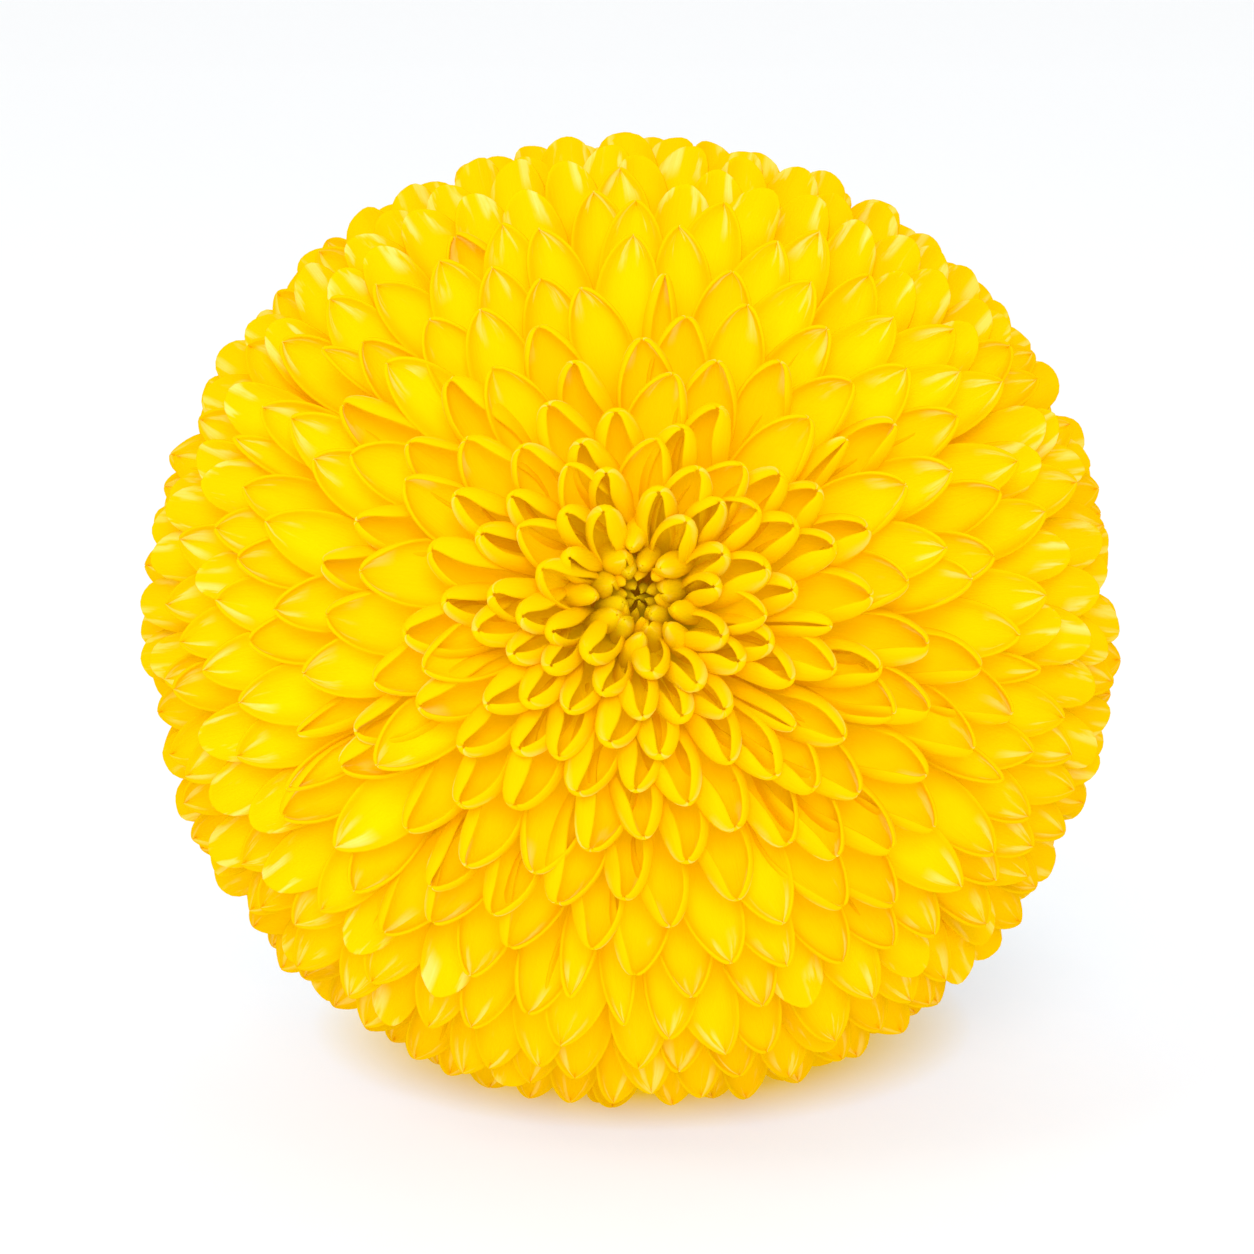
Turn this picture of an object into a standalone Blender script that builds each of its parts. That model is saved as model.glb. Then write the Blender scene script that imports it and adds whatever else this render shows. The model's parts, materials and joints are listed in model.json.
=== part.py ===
"""Pompon chrysanthemum bloom, cut with a short stem and lying on its side.

Lengths are in metres and +Z is up. The bloom is modelled about its own axis, with the
middle of its globe at the origin and its face up. The bloom_pose empty then lays it down
with the face towards -Y, tipped up a little, and its lowest petals pressed flat at z = 0.

A point of the meridian plane is a pair: its distance from the bloom's axis, and its
height along the axis. A polar angle is counted from the middle of the face.
"""

import math
import random
from typing import NamedTuple

import bmesh
import bpy
import numpy as np
from mathutils import Vector

MM = 0.001

# The whole bloom
GLOBE_RADIUS = 30.0 * MM
FACE_TILT = math.radians(14.7)
PRESSED_DEPTH = 1.1 * MM
FOOTPRINT_SHIFT = (-0.03 * MM, 1.48 * MM)
GOLDEN_ANGLE = math.pi * (3.0 - math.sqrt(5.0))
FIRST_AZIMUTH = math.radians(12.0)
SEED = 11

# The spiral of petals: wide seats over the globe, crowded ones towards the middle
FULL_SPACING = 5.55 * MM
CROWDED_POLAR = math.radians(15.0)
CROWDED_OFFSET = math.radians(1.5)
CROWDED_POWER = 1.15
RING_POLAR = math.radians(6.9)
BUD_POLAR = math.radians(14.0)
LAST_POLAR = math.radians(138.0)

# Petals: their half width is a share of the spacing of their seats
PETAL_THICKNESS = 0.9 * MM
PETAL_HALF_WIDTH = 0.54
BUD_FULLNESS = 1.18
BEND_REACH = 0.95
LEAST_LEAN_COSINE = 0.5
TIP_DROP = 0.35 * MM
AZIMUTH_SWAY = math.radians(1.5)
TWIST_SWAY = math.radians(9.0)
DIMPLE_DEPTH = 2.2 * MM
DIMPLE_POLAR = math.radians(11.0)

# Outlines from root to tip, in rows: share of the midline, share of the half width
BLADE_OUTLINE = ((0.0, 0.0), (0.68, 1.0), (0.91, 0.76), (1.0, 0.0))
BUD_OUTLINE = ((0.0, 0.0), (0.5, 1.0), (0.85, 0.72), (1.0, 0.0))

# The core, a dense head of petal bases and receptacle
CORE_RADIUS = 24.4 * MM
CORE_SINK = 4.0 * MM
CORE_EDGE_POLAR = math.radians(108.0)
CORE_WAIST = (21.4 * MM, -10.2 * MM)
CORE_BACK_RADIUS = 17.1 * MM
CORE_BACK = -12.0 * MM
CORE_STEPS = 18
CORE_RINGS = 6
CLAW_START = (11.5 * MM, -10.6 * MM)
CLAW_POLAR = math.radians(98.0)
CLAW_EASE = 0.5

# The button of young florets in its pit
GAP = 0.3 * MM
BUTTON_RADIUS = 2.3 * MM
BUTTON_FOOT = 22.3 * MM
BUTTON_SHOULDER = 24.3 * MM
BUTTON_CROWN = (1.38 * MM, 24.85 * MM)
BUTTON_TOP = 25.0 * MM
BUTTON_STEPS = 16
YOUNG_COUNT = 13
YOUNG_RADIUS = 0.6 * MM

# Young florets: share of their own distance from the axis, and height over the shoulder
YOUNG_ROOT = (1.0, -0.6 * MM)
YOUNG_BEND = (1.15, 2.04 * MM)
YOUNG_TIP = (0.75, 3.4 * MM)

# Calyx: its outside runs down from the rim, as distance from the axis and depth below it
CALYX_DEPTH = 4.6 * MM
CALYX_OUTSIDE = ((8.36 * MM, 0.0), (8.8 * MM, 0.4 * MM), (7.57 * MM, 1.93 * MM), (5.28 * MM, 3.68 * MM))
CALYX_NECK = 3.52 * MM
CALYX_STEPS = 24
BRACT_THICKNESS = 0.7 * MM
BRACT_CUP = 0.25
BRACT_ROOT = (3.7 * MM, 3.6 * MM)
BRACT_BEND_REACH = 0.82
BRACT_BEND_DEPTH = 4.1 * MM

# Stem
STEM_RADIUS = 2.1 * MM
STEM_END = -27.0 * MM
STEM_SOCKET = 1.6 * MM
STEM_RIBS = 6
SIDES_PER_RIB = 4
RIB_HEIGHT = 0.07

# Mesh finishing
WELD_DISTANCE = 0.01 * MM
SCRAP_WELD_DISTANCE = 0.002 * MM
SHARP_ANGLE = math.radians(35.0)

# How far the tip of a petal leans away from the globe's radius, and how deep its cup is
# as a share of its half width, from the middle of the face to the back
LEAN_BY_POLAR = ((0, -30), (8, -16), (14, 0), (22, 18), (35, 34), (55, 42), (80, 47), (110, 47), (138, 32))
CUP_BY_POLAR = ((0, 0.9), (14, 0.85), (22, 0.62), (35, 0.45), (60, 0.34), (90, 0.28), (138, 0.2))


class BractRow(NamedTuple):
    """One ring of the calyx's bracts."""

    count: int
    reach: float
    half_width: float
    tip_depth: float
    first_turn: float


BRACT_ROWS = (
    BractRow(8, 7.6 * MM, 2.1 * MM, 1.5 * MM, 0.0),
    BractRow(11, 9.9 * MM, 2.0 * MM, 0.6 * MM, 0.5),
)


class Tissue(NamedTuple):
    """The look of one kind of plant tissue."""

    name: str
    colour: tuple
    roughness: float
    subsurface: float


PETAL_YELLOW = Tissue("petal_yellow", (0.95, 0.62, 0.005), 0.45, 0.2)
YOUNG_OLIVE = Tissue("young_olive", (0.36, 0.26, 0.01), 0.55, 0.1)
CALYX_GREEN = Tissue("calyx_green", (0.12, 0.22, 0.04), 0.6, 0.1)
STEM_GREEN = Tissue("stem_green", (0.2, 0.3, 0.07), 0.55, 0.1)


def clear_scene():
    """Remove every object, so that the file holds only the flower."""
    for leftover in list(bpy.data.objects):
        bpy.data.objects.remove(leftover, do_unlink=True)


def new_collection(name):
    """A collection linked to the scene."""
    collection = bpy.data.collections.new(name)
    bpy.context.scene.collection.children.link(collection)
    return collection


def cover_with(part, tissue):
    """Give a part its own material: soft, without metal, a little light passing through."""
    material = bpy.data.materials.new(tissue.name)
    material.use_nodes = True
    shader = material.node_tree.nodes["Principled BSDF"]
    shader.inputs["Base Color"].default_value = (*tissue.colour, 1.0)
    shader.inputs["Roughness"].default_value = tissue.roughness
    shader.inputs["Metallic"].default_value = 0.0
    shader.inputs["Subsurface Weight"].default_value = tissue.subsurface
    material.diffuse_color = (*tissue.colour, 1.0)
    part.data.materials.append(material)


def object_from_bmesh(name, shape, collection):
    """Turn a bmesh into an object, with its faces pointing out."""
    bmesh.ops.recalc_face_normals(shape, faces=shape.faces)
    mesh = bpy.data.meshes.new(name)
    shape.to_mesh(mesh)
    shape.free()
    made = bpy.data.objects.new(name, mesh)
    collection.objects.link(made)
    return made


def by_polar(table, polar):
    """Read a table of degrees and values at a polar angle in radians."""
    degrees, values = zip(*table)
    return float(np.interp(math.degrees(polar), degrees, values))


def seat_spacing(polar):
    """Distance between neighbouring seats: crowded in the middle of the face, even further out."""
    fullness = 1.0 - math.exp(-(polar + CROWDED_OFFSET) / CROWDED_POLAR)
    return FULL_SPACING * fullness ** CROWDED_POWER


def spiral_seats():
    """Polar and azimuth angle of every seat, on one golden-angle spiral over the globe."""
    polars = np.linspace(0.0, LAST_POLAR, 4000)
    seats_per_radian = [
        2.0 * math.pi * math.sin(polar) * GLOBE_RADIUS ** 2 / seat_spacing(polar) ** 2
        for polar in polars
    ]
    counted = np.concatenate([[0.0], np.cumsum(seats_per_radian[1:]) * (polars[1] - polars[0])])
    middles = np.arange(0.5, counted[-1])
    seated = np.interp(middles, counted, polars)
    return [(float(polar), FIRST_AZIMUTH + index * GOLDEN_ANGLE) for index, polar in enumerate(seated)]


def meridian(radius, polar):
    """The point of the meridian plane at a radius and a polar angle."""
    return Vector((radius * math.sin(polar), radius * math.cos(polar)))


def along(midline, share):
    """Point and unit direction at a share of a midline of root, bend and tip."""
    root, bend, tip = midline
    rest = 1.0 - share
    point = root * rest * rest + bend * 2.0 * rest * share + tip * share * share
    direction = (bend - root) * rest + (tip - bend) * share
    return point, direction.normalized()


def place(point, direction, across, towards, azimuth):
    """A point of the bloom from its meridian point and its offsets across and towards the axis."""
    distance = point.x - direction.y * towards
    height = point.y + direction.x * towards
    return Vector((
        distance * math.cos(azimuth) - across * math.sin(azimuth),
        distance * math.sin(azimuth) + across * math.cos(azimuth),
        height,
    ))


def petal_midline(polar, tip_radius):
    """Root in the core, bend below the surface and tip on the globe, for a seat's polar angle."""
    lean = math.radians(by_polar(LEAN_BY_POLAR, polar))
    tip = meridian(tip_radius, polar)
    depth = tip_radius - CORE_RADIUS
    reach = depth * BEND_REACH / max(math.cos(lean), LEAST_LEAN_COSINE)
    bend = tip - meridian(reach, polar + lean)
    bend_polar = math.atan2(bend.x, bend.y)
    root = meridian(CORE_RADIUS - CORE_SINK, bend_polar)
    claw = min(max((polar - CLAW_POLAR) / (LAST_POLAR - CLAW_POLAR), 0.0), 1.0)
    return root.lerp(Vector(CLAW_START), claw ** CLAW_EASE), bend, tip


def floret(name, midline, azimuth, sides, outline, section, collection):
    """A closed floret: a coarse ball stretched along a midline, each ring given its section."""
    shape = bmesh.new()
    rows = len(outline) - 1
    bmesh.ops.create_uvsphere(shape, u_segments=sides, v_segments=rows, radius=1.0)
    for corner in shape.verts:
        row = round(rows * math.acos(max(-1.0, min(1.0, -corner.co.z))) / math.pi)
        share, width = outline[row]
        ring = Vector((corner.co.x, corner.co.y)).normalized()
        point, direction = along(midline, share)
        across, towards = section(ring, width)
        corner.co = place(point, direction, across, towards, azimuth)
    bmesh.ops.triangulate(shape, faces=shape.faces, quad_method="SHORT_EDGE")
    return object_from_bmesh(name, shape, collection)


def blade(name, midline, azimuth, half_width, cup, thickness, twist, collection):
    """A cupped blade: its edges stand up towards the axis and its back is a keel."""
    def section(ring, width):
        across = half_width * width * ring.x
        towards = cup * abs(across) - thickness * max(-ring.y, 0.0)
        return (
            across * math.cos(twist) - towards * math.sin(twist),
            across * math.sin(twist) + towards * math.cos(twist),
        )

    return floret(name, midline, azimuth, 4, BLADE_OUTLINE, section, collection)


def bud(name, midline, azimuth, radius, collection):
    """A closed floret of a five-sided section, fullest below its tip."""
    def section(ring, width):
        return radius * width * ring.x, radius * width * ring.y

    return floret(name, midline, azimuth, 5, BUD_OUTLINE, section, collection)


def turned_solid(name, profile, steps, collection):
    """A solid of revolution about the bloom's axis, from a profile that runs down its outside."""
    shape = bmesh.new()
    corners = [shape.verts.new((distance, 0.0, height)) for distance, height in profile]
    for upper, lower in zip(corners, corners[1:]):
        shape.edges.new((upper, lower))
    mesh = bpy.data.meshes.new(name)
    shape.to_mesh(mesh)
    shape.free()
    made = bpy.data.objects.new(name, mesh)
    collection.objects.link(made)
    screw = made.modifiers.new("turn", "SCREW")
    screw.steps = steps
    screw.render_steps = steps
    screw.use_merge_vertices = True
    screw.merge_threshold = WELD_DISTANCE
    bake(made)
    shape = bmesh.new()
    shape.from_mesh(made.data)
    bmesh.ops.remove_doubles(shape, verts=shape.verts, dist=WELD_DISTANCE)
    bmesh.ops.recalc_face_normals(shape, faces=shape.faces)
    shape.to_mesh(made.data)
    shape.free()
    return made


def bake(made):
    """Replace an object's mesh by what its modifiers make of it."""
    bpy.context.view_layer.update()
    evaluated = made.evaluated_get(bpy.context.evaluated_depsgraph_get())
    finished = bpy.data.meshes.new_from_object(evaluated)
    made.modifiers.clear()
    made.data = finished
    finished.name = made.name


def fuse(body, pieces):
    """Join every object of a collection to a body, then remove the collection's objects."""
    union = body.modifiers.new("grown together", "BOOLEAN")
    union.operation = "UNION"
    union.operand_type = "COLLECTION"
    union.collection = pieces
    union.solver = "MANIFOLD"
    bake(body)
    for piece in list(pieces.objects):
        bpy.data.objects.remove(piece, do_unlink=True)
    keep_main_body(body)


def keep_main_body(made):
    """Drop loose scraps and fill sealed hollows: only the widest shell of faces stays."""
    shape = bmesh.new()
    shape.from_mesh(made.data)
    bmesh.ops.remove_doubles(shape, verts=shape.verts, dist=SCRAP_WELD_DISTANCE)
    unseen = set(shape.faces)
    shells = []
    while unseen:
        shell = [unseen.pop()]
        for face in shell:
            for edge in face.edges:
                for neighbour in edge.link_faces:
                    if neighbour in unseen:
                        unseen.remove(neighbour)
                        shell.append(neighbour)
        shells.append(shell)
    shells.sort(key=len)
    for shell in shells[:-1]:
        bmesh.ops.delete(shape, geom=shell, context="FACES")
    shape.to_mesh(made.data)
    shape.free()


def build_core(collection):
    """The head's core, with a pit for the young florets and a flat seat for the calyx."""
    pit = BUTTON_RADIUS + GAP
    pit_floor = BUTTON_FOOT - GAP
    rings = np.linspace(math.asin(pit / CORE_RADIUS), CORE_EDGE_POLAR, CORE_RINGS + 1)
    dome = [tuple(meridian(CORE_RADIUS, polar)) for polar in rings]
    back = [CORE_WAIST, (CORE_BACK_RADIUS, CORE_BACK), (0.0, CORE_BACK)]
    profile = [(0.0, pit_floor), (pit, pit_floor), *dome, *back]
    return turned_solid("petals", profile, CORE_STEPS, collection)


def build_petals(collection, pieces):
    """Every yellow floret, from the closed ring round the button to the last row at the back."""
    core = build_core(collection)
    draw = random.Random(SEED)
    for index, (polar, azimuth) in enumerate(spiral_seats()):
        sway = draw.uniform(-1.0, 1.0)
        shortfall = draw.random()
        if polar < RING_POLAR:
            continue
        dimple = DIMPLE_DEPTH * math.exp(-((polar / DIMPLE_POLAR) ** 2))
        midline = petal_midline(polar, GLOBE_RADIUS - dimple - TIP_DROP * shortfall)
        azimuth += AZIMUTH_SWAY * sway
        half_width = PETAL_HALF_WIDTH * seat_spacing(polar)
        if polar < BUD_POLAR:
            bud(f"bud_{index}", midline, azimuth, BUD_FULLNESS * half_width, pieces)
            continue
        cup = by_polar(CUP_BY_POLAR, polar)
        twist = TWIST_SWAY * sway
        blade(f"petal_{index}", midline, azimuth, half_width, cup, PETAL_THICKNESS, twist, pieces)
    fuse(core, pieces)
    cover_with(core, PETAL_YELLOW)
    return core


def build_centre_florets(collection, pieces):
    """The olive button: a small plug in the pit, with young closed florets standing on it."""
    profile = [
        (0.0, BUTTON_TOP),
        BUTTON_CROWN,
        (BUTTON_RADIUS, BUTTON_SHOULDER),
        (BUTTON_RADIUS, BUTTON_FOOT),
        (0.0, BUTTON_FOOT),
    ]
    plug = turned_solid("centre_florets", profile, BUTTON_STEPS, collection)
    for index in range(YOUNG_COUNT):
        spread = math.sqrt((index + 0.5) / YOUNG_COUNT) * (BUTTON_RADIUS - YOUNG_RADIUS)
        midline = [
            Vector((spread * share, BUTTON_SHOULDER + height))
            for share, height in (YOUNG_ROOT, YOUNG_BEND, YOUNG_TIP)
        ]
        bud(f"young_{index}", midline, index * GOLDEN_ANGLE, YOUNG_RADIUS, pieces)
    fuse(plug, pieces)
    cover_with(plug, YOUNG_OLIVE)
    return plug


def build_calyx(collection, pieces):
    """The green cup under the bloom, with two rows of overlapping bracts and a socket for the stem."""
    rim = CORE_BACK - GAP
    bottom = rim - CALYX_DEPTH
    socket = STEM_RADIUS * (1.0 + RIB_HEIGHT) + GAP
    profile = [
        (0.0, rim),
        *((distance, rim - depth) for distance, depth in CALYX_OUTSIDE),
        (CALYX_NECK, bottom),
        (socket, bottom),
        (socket, bottom + STEM_SOCKET),
        (0.0, bottom + STEM_SOCKET),
    ]
    cup = turned_solid("calyx", profile, CALYX_STEPS, collection)
    root = Vector((BRACT_ROOT[0], rim - BRACT_ROOT[1]))
    for row in BRACT_ROWS:
        bend = Vector((row.reach * BRACT_BEND_REACH, rim - BRACT_BEND_DEPTH))
        tip = Vector((row.reach, rim - row.tip_depth))
        midline = (root, bend, tip)
        for index in range(row.count):
            azimuth = (index + row.first_turn) * 2.0 * math.pi / row.count
            name = f"bract_{row.count}_{index}"
            blade(name, midline, azimuth, row.half_width, BRACT_CUP, BRACT_THICKNESS, 0.0, pieces)
    fuse(cup, pieces)
    cover_with(cup, CALYX_GREEN)
    return cup


def build_stem(collection):
    """A short ribbed stem, cut square, whose top stands in the calyx."""
    top = CORE_BACK - GAP - CALYX_DEPTH + STEM_SOCKET - GAP
    length = top - STEM_END
    shape = bmesh.new()
    bmesh.ops.create_cone(
        shape,
        cap_ends=True,
        segments=SIDES_PER_RIB * STEM_RIBS,
        radius1=STEM_RADIUS,
        radius2=STEM_RADIUS,
        depth=length,
    )
    for corner in shape.verts:
        ribbed = 1.0 + RIB_HEIGHT * math.cos(STEM_RIBS * math.atan2(corner.co.y, corner.co.x))
        corner.co.x *= ribbed
        corner.co.y *= ribbed
        corner.co.z += STEM_END + length / 2.0
    stem = object_from_bmesh("stem", shape, collection)
    cover_with(stem, STEM_GREEN)
    return stem


def press_flat(petals, cutters):
    """Take off what the lowest petals would push below the surface that the bloom lies on."""
    bpy.ops.mesh.primitive_cube_add(size=4.0 * GLOBE_RADIUS, location=(0.0, 0.0, -2.0 * GLOBE_RADIUS))
    surface = bpy.context.object
    surface.name = "resting_surface"
    surface.hide_render = True
    surface.display_type = "WIRE"
    for home in list(surface.users_collection):
        home.objects.unlink(surface)
    cutters.objects.link(surface)
    press = petals.modifiers.new("pressed flat", "BOOLEAN")
    press.operation = "DIFFERENCE"
    press.object = surface


def main():
    """Build the four parts and lay the bloom down."""
    clear_scene()
    flower = new_collection("pompon_chrysanthemum")
    cutters = new_collection("cutters")
    pieces = new_collection("florets_to_fuse")
    parts = [
        build_petals(flower, pieces),
        build_centre_florets(flower, pieces),
        build_calyx(flower, pieces),
        build_stem(flower),
    ]
    pose = bpy.data.objects.new("bloom_pose", None)
    flower.objects.link(pose)
    pose.rotation_euler = (math.pi / 2.0 - FACE_TILT, 0.0, 0.0)
    pose.location = (*FOOTPRINT_SHIFT, GLOBE_RADIUS - PRESSED_DEPTH)
    for part in parts:
        part.parent = pose
        part.data.shade_smooth()
        part.data.set_sharp_from_angle(angle=SHARP_ANGLE)
    press_flat(parts[0], cutters)


main()
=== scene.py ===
"""Yellow pompon chrysanthemum bloom on a white table, dressed over its solid parts.

Lengths are in metres. Every petal is shaped in the bloom's own frame: the axis of the
flower is +Z, the middle of the globe is the origin, and a polar angle is counted from the
middle of the face. BloomPose then lays the finished meshes down, face towards -Y.
"""

import json
import logging
import math
from dataclasses import dataclass, field
from enum import Enum
from functools import reduce

import bmesh
import bpy
import numpy as np
from mathutils import Matrix, Vector

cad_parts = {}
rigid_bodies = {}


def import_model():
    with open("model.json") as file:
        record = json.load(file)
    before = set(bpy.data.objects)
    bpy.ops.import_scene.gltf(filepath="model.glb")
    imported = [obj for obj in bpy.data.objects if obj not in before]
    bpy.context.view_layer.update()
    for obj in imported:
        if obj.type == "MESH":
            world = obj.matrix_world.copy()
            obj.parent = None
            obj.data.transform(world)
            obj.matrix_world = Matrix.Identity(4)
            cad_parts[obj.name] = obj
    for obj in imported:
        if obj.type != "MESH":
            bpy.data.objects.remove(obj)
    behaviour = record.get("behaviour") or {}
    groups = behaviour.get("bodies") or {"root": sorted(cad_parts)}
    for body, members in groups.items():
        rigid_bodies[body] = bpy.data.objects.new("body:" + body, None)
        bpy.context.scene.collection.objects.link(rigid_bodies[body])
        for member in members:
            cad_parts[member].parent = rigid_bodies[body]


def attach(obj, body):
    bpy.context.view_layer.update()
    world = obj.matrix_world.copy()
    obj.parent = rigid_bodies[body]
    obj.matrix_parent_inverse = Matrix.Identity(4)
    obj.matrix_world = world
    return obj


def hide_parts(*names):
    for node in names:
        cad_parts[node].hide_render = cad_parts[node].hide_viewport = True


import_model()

Pair = tuple[float, float]
Floats = tuple[float, ...]
Table = tuple[Pair, ...]
Colour = tuple[float, float, float]
Stops = tuple[tuple[float, Colour], ...]
Inputs = dict[int | str, object]
Material = bpy.types.Material
Mesh = bpy.types.Mesh
Node = bpy.types.Node
Piece = bpy.types.Object
Socket = bpy.types.NodeSocket

LOG = logging.getLogger("pompon")
MM = 0.001
GOLDEN_ANGLE = math.pi * (3.0 - math.sqrt(5.0))
GLOBE_RADIUS = 30.0 * MM
LAST_POLAR = math.radians(139.0)
MERGE_DISTANCE = 0.01 * MM
BLACK: Colour = (0.0, 0.0, 0.0)
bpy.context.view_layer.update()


def look_up(table: Table, polar: float) -> float:
    """Read a table of degrees and values at a polar angle in radians."""
    degrees, values = zip(*table)
    return float(np.interp(math.degrees(polar), degrees, values))


def ease(low: float, high: float, value: float) -> float:
    """Smooth step from 0 at low to 1 at high."""
    share = min(max((value - low) / (high - low), 0.0), 1.0)
    return share * share * (3.0 - 2.0 * share)


def bump(value: float, width: float) -> float:
    """A bell of height 1 about 0."""
    return math.exp(-((value / width) ** 2))


def meridian(radius: float, polar: float) -> np.ndarray:
    """The point of the meridian plane at a radius and a polar angle."""
    return np.array([radius * math.sin(polar), radius * math.cos(polar)])


def curve(root: np.ndarray, bend: np.ndarray, tip: np.ndarray, place: float) -> tuple[np.ndarray, np.ndarray]:
    """A point of a midline with one bend, and the midline's heading there.

    Args:
        root: Where the midline starts.
        bend: The point that it bends towards.
        tip: Where it ends.
        place: Share of its length.

    Returns:
        The point and a heading of length 1, both in the meridian plane.
    """
    rest = 1.0 - place
    spot = root * rest * rest + bend * 2.0 * rest * place + tip * place * place
    heading = (bend - root) * rest + (tip - bend) * place
    return spot, heading / np.linalg.norm(heading)


def woven(name: str, grid: np.ndarray, columns: Floats, rows: Floats) -> Mesh:
    """A sheet of quads over a grid of points, with a UV map of its width and length.

    Args:
        name: The mesh's name.
        grid: The points, an array of rows by columns by 3.
        columns: Where each column lies across the sheet, from -1 to 1.
        rows: Where each row lies along it.

    Returns:
        The new mesh.
    """
    wide = len(columns)
    starts = [row * wide + column for row in range(len(rows) - 1) for column in range(wide - 1)]
    quads = [(start, start + 1, start + wide + 1, start + wide) for start in starts]
    mesh = bpy.data.meshes.new(name)
    mesh.from_pydata(grid.reshape(-1, 3).tolist(), [], quads)
    layer = mesh.uv_layers.new(name="UVMap")
    spots = [((column + 1.0) / 2.0, row) for row in rows for column in columns]
    for loop in mesh.loops:
        layer.data[loop.index].uv = spots[loop.vertex_index]
    return mesh


def link(name: str, mesh: Mesh) -> Piece:
    """Put a mesh into the scene under a name.

    Args:
        name: The object's name.
        mesh: Its mesh.

    Returns:
        The new object.
    """
    made = bpy.data.objects.new(name, mesh)
    bpy.context.scene.collection.objects.link(made)
    return made


def bake(carrier: Piece) -> None:
    """Turn what an object's modifiers make into its plain mesh.

    Args:
        carrier: An object with live modifiers, which are removed.
    """
    bpy.context.view_layer.update()
    graph = bpy.context.evaluated_depsgraph_get()
    finished = bpy.data.meshes.new_from_object(
        carrier.evaluated_get(graph), preserve_all_data_layers=True, depsgraph=graph
    )
    carrier.modifiers.clear()
    carrier.data = finished
    finished.name = carrier.name


def turned(name: str, profile: list[Pair], steps: int) -> Piece:
    """A solid of revolution about the flower's axis.

    Args:
        name: The piece's name.
        profile: Distances from the axis and heights, down the outside.
        steps: How many sides it has.

    Returns:
        The new object, with a plain mesh.
    """
    mesh = bpy.data.meshes.new(name)
    edges = [(upper, upper + 1) for upper in range(len(profile) - 1)]
    mesh.from_pydata([(distance, 0.0, height) for distance, height in profile], edges, [])
    made = link(name, mesh)
    screw = made.modifiers.new("turn", "SCREW")
    screw.steps = screw.render_steps = steps
    screw.use_merge_vertices = True
    screw.merge_threshold = MERGE_DISTANCE
    bake(made)
    shape = bmesh.new()
    shape.from_mesh(made.data)
    bmesh.ops.remove_doubles(shape, verts=shape.verts, dist=MERGE_DISTANCE)
    bmesh.ops.recalc_face_normals(shape, faces=shape.faces)
    shape.to_mesh(made.data)
    shape.free()
    return made


def hand_over(piece: Piece, node: str, finish: Material) -> None:
    """Give a finished piece its look and its place in the frame.

    Args:
        piece: The finished piece.
        node: The solid that the piece stands for.
        finish: The material that it wears.
    """
    piece.data.materials.clear()
    piece.data.materials.append(finish)
    piece.data.shade_smooth()
    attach(piece, "root")
    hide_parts(node)
    evaluated = piece.evaluated_get(bpy.context.evaluated_depsgraph_get())
    counted = evaluated.to_mesh()
    counted.calc_loop_triangles()
    LOG.info("%s: %d triangles, stands for %s", piece.name, len(counted.loop_triangles), node)
    evaluated.to_mesh_clear()


class Band(Enum):
    """Which belt of the globe a piece of the petal coat covers."""

    FACE = "petals_face"
    SHOULDER = "petals_shoulder"
    FLANK = "petals_flank"
    BACK = "petals_back"


class Tip(Enum):
    """How a petal ends."""

    HOODED = "rims drawn together over a bowed tip"
    OPEN = "broad end with small teeth"


@dataclass(frozen=True)
class BloomPose:
    """Where the bloom lies: its face tipped up, its lowest petals pressed on the table."""

    face_tilt: float = math.radians(14.7)
    pressed: float = 1.1 * MM
    shift: Pair = (-0.03 * MM, 1.48 * MM)
    soft_height: float = 2.2 * MM
    floor_clearance: float = 0.25 * MM
    loose_tips: float = 0.6 * MM
    squeeze: float = 1.9

    def middle(self) -> Vector:
        """The middle of the globe in the table's frame."""
        return Vector((*self.shift, GLOBE_RADIUS - self.pressed))

    def lay_down(self, mesh: Mesh) -> None:
        """Move a mesh into the table's frame and press it where it would sink into the table.

        Args:
            mesh: The mesh to change, in the bloom's frame.
        """
        mesh.transform(
            Matrix.Translation(self.middle()) @ Matrix.Rotation(math.pi / 2.0 - self.face_tilt, 4, "X")
        )
        corners = np.empty(len(mesh.vertices) * 3)
        mesh.vertices.foreach_get("co", corners)
        corners = corners.reshape(-1, 3)
        low = corners[:, 2] < self.soft_height
        deepest = -self.pressed - self.loose_tips
        share = np.clip((corners[low, 2] - deepest) / (self.soft_height - deepest), 0.0, 1.0)
        room = self.soft_height - self.floor_clearance
        corners[low, 2] = self.floor_clearance + room * share ** self.squeeze
        mesh.vertices.foreach_set("co", corners.ravel())
        mesh.update()


@dataclass(frozen=True)
class Spiral:
    """The golden-angle spiral that every petal sits on, crowded towards the middle."""

    full_spacing: float = 3.75 * MM
    crowded_polar: float = math.radians(12.0)
    crowded_offset: float = math.radians(1.9)
    crowded_power: float = 1.15
    first_polar: float = math.radians(4.2)
    first_azimuth: float = math.radians(12.0)
    samples: int = 6000

    def spacing(self, polar: float) -> float:
        """Distance between neighbouring seats at a polar angle."""
        fullness = 1.0 - math.exp(-(polar + self.crowded_offset) / self.crowded_polar)
        return self.full_spacing * fullness ** self.crowded_power

    def seats(self) -> list[Pair]:
        """Every seat of the coat.

        Returns:
            Pairs of polar and azimuth angle, from the middle outwards.
        """
        polars = np.linspace(0.0, LAST_POLAR, self.samples)
        per_radian = [
            2.0 * math.pi * math.sin(polar) * GLOBE_RADIUS ** 2 / self.spacing(polar) ** 2 for polar in polars
        ]
        counted = np.concatenate([[0.0], np.cumsum(per_radian[1:]) * (polars[1] - polars[0])])
        seated = np.interp(np.arange(0.5, counted[-1]), counted, polars)
        return [
            (float(polar), self.first_azimuth + index * GOLDEN_ANGLE)
            for index, polar in enumerate(seated)
            if polar >= self.first_polar
        ]


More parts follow.
